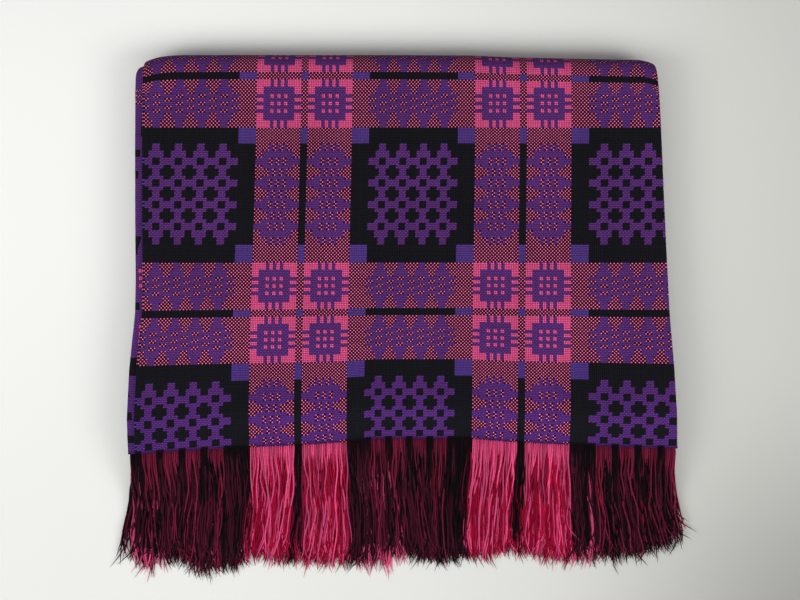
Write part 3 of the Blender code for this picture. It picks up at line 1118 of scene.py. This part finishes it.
def yarn_paths(layer, steps):
    """The middle line of each yarn of a layer, with its dye and its shade."""
    rng = np.random.default_rng(layer.seed)
    count = int(abs(layer.stop_thread - layer.start_thread)) * YARNS_PER_THREAD
    share = (np.arange(count) + 0.5) / count
    x0 = layer.start_x + (layer.stop_x - layer.start_x) * share
    numbers = layer.start_thread + (layer.stop_thread - layer.start_thread) * share
    if layer.name == "upper_outer":
        numbers = upper_thread(x0)
    outer = np.arange(count) % YARNS_PER_THREAD == 0
    dyes, extra = yarn_dyes(rng, layer, x0, numbers, outer)
    raised = np.array([inner_on_top(number) for number in numbers])
    is_over = np.where(raised, ~outer, outer)

    tufts = gather_tufts(rng, layer)
    tuft = np.abs(x0[:, None] - tufts.middles[None, :]).argmin(axis=1)
    reach = FRINGE_REACH - between(EDGES, x0, 1) + between(TRIM, x0, 1) + tufts.lengths[tuft]
    reach += rng.normal(0, YARN_LENGTH_SPREAD, count) + extra
    out = -INSIDE + np.linspace(0, 1, steps + 1)[None, :] * (reach[:, None] + INSIDE)
    share_out = np.clip(out / reach[:, None], 0, 1)
    x = wander(rng, x0, out, share_out, tufts, tuft)
    z = falling(rng, layer, out, is_over)
    shade = rng.uniform(0, 1, count)
    return lay(x, FRONT - out, z), dyes, shade


# %% [markdown]
# Each path becomes a tube: a ring of points round it at every step, thin enough that a handful of
# sides is plenty. The tip is drawn in to a point, as a cut woollen end frays. The second map gives
# each yarn its own upright strip, so that the baked picture doesn't mix neighbours.

# %% Turn paths into tubes
YARN_RADIUS = 0.00078
# The thinnest and the thickest yarn, as shares of that radius.
THINNEST_AND_THICKEST = (0.85, 1.18)
RADIUS_SEED = 500
# How thick a yarn is at places along it, as shares of its length and of its full thickness.
TAPER_PLACES = (0, 0.06, 0.86, 0.97, 1.0)
TAPER = (0.75, 1, 0.92, 0.55, 0.10)
SHORTEST = 1e-6


def tube_points(paths, sides, radius):
    """Rings of points round each path."""
    along = np.gradient(paths, axis=1)
    along /= np.linalg.norm(along, axis=2, keepdims=True)
    upward = np.array((0.0, 0.0, 1.0))
    side = np.cross(along, upward)
    side /= np.maximum(np.linalg.norm(side, axis=2, keepdims=True), SHORTEST)
    up = np.cross(side, along)
    angles = 2 * np.pi * np.arange(sides) / sides
    ring = side[:, :, None, :] * np.cos(angles)[None, None, :, None]
    ring = ring + up[:, :, None, :] * np.sin(angles)[None, None, :, None]
    taper = np.interp(np.linspace(0, 1, paths.shape[1]), TAPER_PLACES, TAPER)
    return paths[:, :, None, :] + ring * radius[:, None, None, None] * taper[None, :, None, None]


def tube_faces(count, steps, sides, first):
    """The quads of each tube and its two end faces, as lists of point numbers."""
    yarn, step, around = np.meshgrid(
        np.arange(count), np.arange(steps - 1), np.arange(sides), indexing="ij"
    )
    base = first + yarn * steps * sides
    here, there = base + step * sides, base + (step + 1) * sides
    following = (around + 1) % sides
    quads = np.stack((here + around, here + following, there + following, there + around), axis=-1)
    ends = []
    for number in range(count):
        start = first + number * steps * sides
        ends.append(tuple(range(start + sides - 1, start - 1, -1)))
        last = start + (steps - 1) * sides
        ends.append(tuple(range(last, last + sides)))
    return quads.reshape(-1, 4).tolist(), ends


def make_fringe(name, layers, sides, steps, material):
    """One piece of fringe from the yarns of some layers."""
    places, quads, ends, dyes, shades, maps, total = [], [], [], [], [], [], 0
    for layer in layers:
        paths, dye, shade = yarn_paths(layer, steps)
        count, ring_steps = paths.shape[:2]
        rng = np.random.default_rng(layer.seed + RADIUS_SEED)
        radius = YARN_RADIUS * rng.uniform(*THINNEST_AND_THICKEST, count)
        places.append(tube_points(paths, sides, radius).reshape(-1, 3))
        new_quads, new_ends = tube_faces(count, ring_steps, sides, total)
        quads += new_quads
        ends += new_ends
        total += count * ring_steps * sides
        dyes.append(np.repeat(dye, ring_steps * sides))
        shades.append(np.repeat(shade, ring_steps * sides))
        maps.append((count, ring_steps))
    mesh = bpy.data.meshes.new(name)
    mesh.from_pydata(np.concatenate(places).tolist(), [], quads + ends)
    piece = bpy.data.objects.new(name, mesh)
    bpy.context.scene.collection.objects.link(piece)
    shade_smooth(mesh)
    for label, values in (("dye", dyes), ("shade", shades)):
        stored = mesh.attributes.new(label, "FLOAT", "POINT")
        stored.data.foreach_set("value", np.concatenate(values))
    strip_map(mesh, maps, sides, len(ends))
    mesh.materials.append(material)
    print(name, len(mesh.polygons), "faces")
    return piece


# %% The second map of the tubes
STRIP_ROWS = 4
STRIP_WIDTH = 0.9
STRIP_HEIGHT = 0.96
TUBE_END_SPOT = (0.0005, 0.9995)


def strip_map(mesh, maps, sides, end_count):
    """Gives each yarn an upright strip of the baked picture, side by side in a few rows."""
    yarns = sum(count for count, _ in maps)
    per_row = int(np.ceil(yarns / STRIP_ROWS))
    quad_maps, first = [], 0
    for count, steps in maps:
        yarn, step, around = np.meshgrid(
            np.arange(first, first + count), np.arange(steps - 1), np.arange(sides), indexing="ij"
        )
        wide = STRIP_WIDTH / per_row
        left = (yarn % per_row) / per_row + wide * around / sides
        right = left + wide / sides
        tall = STRIP_HEIGHT / STRIP_ROWS
        low = (yarn // per_row) / STRIP_ROWS + tall * step / (steps - 1)
        high = low + tall / (steps - 1)
        quads = np.stack((left, low, right, low, right, high, left, high), axis=-1)
        quad_maps.append(quads.reshape(-1, 2))
        first += count
    ends = np.tile(np.array(TUBE_END_SPOT), (end_count * sides, 1))
    bake = mesh.uv_layers.new(name="OFBake")
    bake.data.foreach_set("uv", np.concatenate(quad_maps + [ends]).ravel())


# %% [markdown]
# Loose wool is fuzzier than woven wool, so it takes the light softly and shows less of its twist.
# The dye number picks the yarn's colour, the shade number makes each yarn a little lighter or
# darker than its neighbours, and a noise along it gives the mottled look of spun wool.

# %% Fringe material
LOOSE_WOOLS = (
    srgb(9, 4, 8),
    srgb(58, 12, 30),
    srgb(106, 22, 50),
    srgb(150, 6, 48),
    srgb(204, 70, 116),
)
SPUN_SCALE = 420.0
PATCHY_SCALE = 55.0
# How strongly each of these changes the light on a yarn, and how much light is left without it.
LOOSE_SHADE = (0.66, 0.52)
SPUN_LIGHT = (0.5, 0.72)
PATCHY_LIGHT = (0.5, 0.78)

loose = Graph("loose_warp_ends")
dye_ramp = loose.step("ShaderNodeValToRGB")
dye_middle = loose.maths("ADD", loose.number("dye"), 0.5)
loose.feed(dye_ramp.inputs[0], loose.maths("DIVIDE", dye_middle, float(len(LOOSE_WOOLS))))
dye_ramp.color_ramp.interpolation = "CONSTANT"
dye_stops = dye_ramp.color_ramp.elements
dye_stops[0].color = LOOSE_WOOLS[0]
for number, wool in enumerate(LOOSE_WOOLS[1:], start=1):
    dye_stops.new(number / len(LOOSE_WOOLS)).color = wool
dye_stops.remove(dye_stops[-1])
place = loose.step("ShaderNodeTexCoord")
spun = loose.noise(place.outputs["Object"], SPUN_SCALE)
patchy = loose.noise(place.outputs["Object"], PATCHY_SCALE)
loose_light = loose.maths("MULTIPLY_ADD", loose.number("shade"), *LOOSE_SHADE)
loose_light = varied(loose, loose_light, spun, SPUN_LIGHT)
loose_light = varied(loose, loose_light, patchy, PATCHY_LIGHT)
loose.feed(loose.shader.inputs["Base Color"], loose.scaled(dye_ramp.outputs[0], loose_light))
loose.bump_from(spun, strength=0.4, distance=0.0004)
loose.wool_finish(roughness=0.9, sheen=0.01, specular=0.06)
print("fringe material:", len(loose.tree.nodes), "steps")

# %% Make the fringe
upper_outer = [layer for layer in FRINGE if layer.name == "upper_outer"]
upper_under = [layer for layer in FRINGE if layer.name in ("upper_middle", "upper_inner")]
lower = [layer for layer in FRINGE if layer.name.startswith("lower")]
# The yarns that show most have the most sides and steps.
fringe_pieces = [
    make_fringe("fringe_upper_outer", upper_outer, 5, 26, loose.material),
    make_fringe("fringe_upper_under", upper_under, 4, 16, loose.material),
    make_fringe("lower_fringe", lower, 4, 10, loose.material),
]
for piece, node in zip(fringe_pieces, ("fringe_upper", "fringe_upper", "fringe_lower")):
    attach(piece, "root")
    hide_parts(node)

# %% [markdown]
# Its length and width are added up along the fold path.

flat_length = (PATH[0].row - PATH[-1].row) * ROW
flat_width = (FAR_SELVEDGE_THREAD - SELVEDGE_THREAD) * THREAD


def path_length(points):
    steps = np.diff(np.array(points), axis=0)
    return float(np.hypot(steps[:, 0], steps[:, 1]).sum())


measured_length = path_length([(station.y, station.z) for station in PATH])
across_pile = section(TOP.left_front, TOP.right_back, FRONT)
measured_width = path_length([(point.x, point.rise) for point in across_pile])
print("counted flat size", round(flat_width, 3), round(flat_length, 3))
print("measured flat size", round(measured_width, 3), round(measured_length, 3))

# %% [markdown]
# The blanket lies on a plain pale table and is seen from above in soft daylight. The shade round it
# is deepest behind and softer at both sides, so the light comes from the front and from both front
# corners. A long area light and two smaller ones stand for it, and the world gives the light that a
# white room sends back. The table greys towards the right while the blanket doesn't, so that grey
# is painted shade in the table's colour and not made with light.

# %% The table top
TABLE_REACH = 3.0
TABLE_CORNERS = (
    (-TABLE_REACH, -TABLE_REACH, 0),
    (TABLE_REACH, -TABLE_REACH, 0),
    (TABLE_REACH, TABLE_REACH, 0),
    (-TABLE_REACH, TABLE_REACH, 0),
)
floor_mesh = bpy.data.meshes.new("table_top")
floor_mesh.from_pydata(TABLE_CORNERS, [], [(0, 1, 2, 3)])
floor = bpy.data.objects.new("table_top", floor_mesh)
bpy.context.scene.collection.objects.link(floor)

# %% The table's colour, with painted shade
# Painted shade: the table is brightest on the left and greys towards the right, most of all in the
# near corner.
# Each tone's place is counted in metres to the right, and the middle of the table is at 0.5.
TABLE_SHADED_TONES = (
    (0.05, (0.936, 0.936, 0.900, 1.0)),
    (0.30, (0.926, 0.931, 0.890, 1.0)),
    (0.50, (0.874, 0.879, 0.838, 1.0)),
    (0.70, (0.756, 0.754, 0.717, 1.0)),
    (0.84, (0.662, 0.657, 0.620, 1.0)),
    (0.93, (0.606, 0.600, 0.568, 1.0)),
)
MIDDLE_TONE_AT = 0.5
# A painted shadow over the near right corner: its middle, its reach, and the share of light left in
# it.
SHADED_CORNER = (0.43, -0.37, 0.0)
SHADED_CORNER_REACH = 0.34
SHADED_CORNER_SHARE = 0.58
# Painted shade towards the front: from the front edge, with this share of light left, to where it
# ends.
FRONT_EDGE_Y = -0.44
FRONT_SHADE_TO_Y = 0.26
FRONT_SHADE_SHARE = 0.76
CLOUD_SCALE = 3.0
CLOUD_DETAIL = 3.0
CLOUD_LIGHT = (0.02, 0.99)

table = Graph("pale_table")
table_place = table.step("ShaderNodeTexCoord")
clouding = table.noise(table_place.outputs["Object"], CLOUD_SCALE, CLOUD_DETAIL)
table_light = table.maths("MULTIPLY_ADD", clouding, *CLOUD_LIGHT)
table_split = table.step("ShaderNodeSeparateXYZ")
table.feed(table_split.inputs[0], table_place.outputs["Object"])

tone = table.step("ShaderNodeValToRGB")
table.feed(tone.inputs[0], table.maths("ADD", table_split.outputs[0], MIDDLE_TONE_AT))
tone_stops = tone.color_ramp.elements
for stop, (at, shade) in zip(tone_stops, (TABLE_SHADED_TONES[0], TABLE_SHADED_TONES[-1])):
    stop.position = at
    stop.color = shade
for at, shade in TABLE_SHADED_TONES[1:-1]:
    tone_stops.new(at).color = shade


def dimmed(light, value, start, stop, share):
    """Dims the table to a share of its light at the start, and not at all past the stop."""
    fade = table.step("ShaderNodeMapRange", interpolation_type="SMOOTHSTEP")
    table.feed(fade.inputs["Value"], value)
    fade.inputs["From Min"].default_value = start
    fade.inputs["From Max"].default_value = stop
    fade.inputs["To Min"].default_value = share
    fade.inputs["To Max"].default_value = 1.0
    return table.maths("MULTIPLY", light, fade.outputs["Result"])


# The painted shadow at the near corner, then the painted shade towards the front.
to_corner = table.step("ShaderNodeVectorMath", operation="DISTANCE")
table.feed(to_corner.inputs[0], table_place.outputs["Object"])
to_corner.inputs[1].default_value = SHADED_CORNER
corner_distance = to_corner.outputs["Value"]
table_light = dimmed(table_light, corner_distance, 0.0, SHADED_CORNER_REACH, SHADED_CORNER_SHARE)
table_light = dimmed(table_light, table_split.outputs[1], FRONT_EDGE_Y, FRONT_SHADE_TO_Y, FRONT_SHADE_SHARE)
table.feed(table.shader.inputs["Base Color"], table.scaled(tone.outputs[0], table_light))
table.shader.inputs["Roughness"].default_value = 0.85
table.shader.inputs["Specular IOR Level"].default_value = 0.1
floor_mesh.materials.append(table.material)
print("table material:", len(table.tree.nodes), "steps")

# %% The light
Window = namedtuple("Window", "name place size watts")
WINDOWS = (
    Window("long_window", (-0.2, -1.6, 2.0), (9.0, 1.6), 94.0),
    Window("left_window", (-2.0, -1.2, 1.6), (1.4, 1.2), 25.4),
    Window("right_window", (2.0, -1.2, 1.6), (1.4, 1.2), 25.4),
)
ROOM_COLOUR = (0.96, 0.98, 1.0, 1.0)
ROOM_STRENGTH = 0.272


def hang(window):
    """A soft area light at a window's place, turned to face the middle of the table."""
    lamp = bpy.data.lights.new(window.name, "AREA")
    lamp.shape = "RECTANGLE"
    lamp.size, lamp.size_y = window.size
    lamp.energy = window.watts
    holder = bpy.data.objects.new(window.name, lamp)
    holder.location = window.place
    holder.rotation_euler = Vector(window.place).to_track_quat("Z", "Y").to_euler()
    bpy.context.scene.collection.objects.link(holder)


for window in WINDOWS:
    hang(window)
world = bpy.data.worlds.new("white_room")
world.use_nodes = True
background = world.node_tree.nodes["Background"]
background.inputs["Color"].default_value = ROOM_COLOUR
background.inputs["Strength"].default_value = ROOM_STRENGTH
bpy.context.scene.world = world
bpy.context.scene.view_settings.view_transform = "Standard"
print("lights:", len(WINDOWS), "windows and a white room")

# %% The camera
# It looks almost straight down, from a little in front of the middle of the pile.
CAMERA_PLACE = (-0.0067, -0.0515, 0.9)
CAMERA_TILT_DEG = 3.8
FOCAL_PIXELS = 891.6
IMAGE_WIDTH = 800
SENSOR = 36.0

eye = bpy.data.cameras.new("camera")
eye.sensor_width = SENSOR
eye.lens = FOCAL_PIXELS / IMAGE_WIDTH * SENSOR
camera = bpy.data.objects.new("camera", eye)
camera.location = CAMERA_PLACE
camera.rotation_euler = (np.radians(CAMERA_TILT_DEG), 0.0, 0.0)
bpy.context.scene.collection.objects.link(camera)
bpy.context.scene.camera = camera
print("camera lens", round(eye.lens, 2), "mm, tilted", CAMERA_TILT_DEG, "degrees")
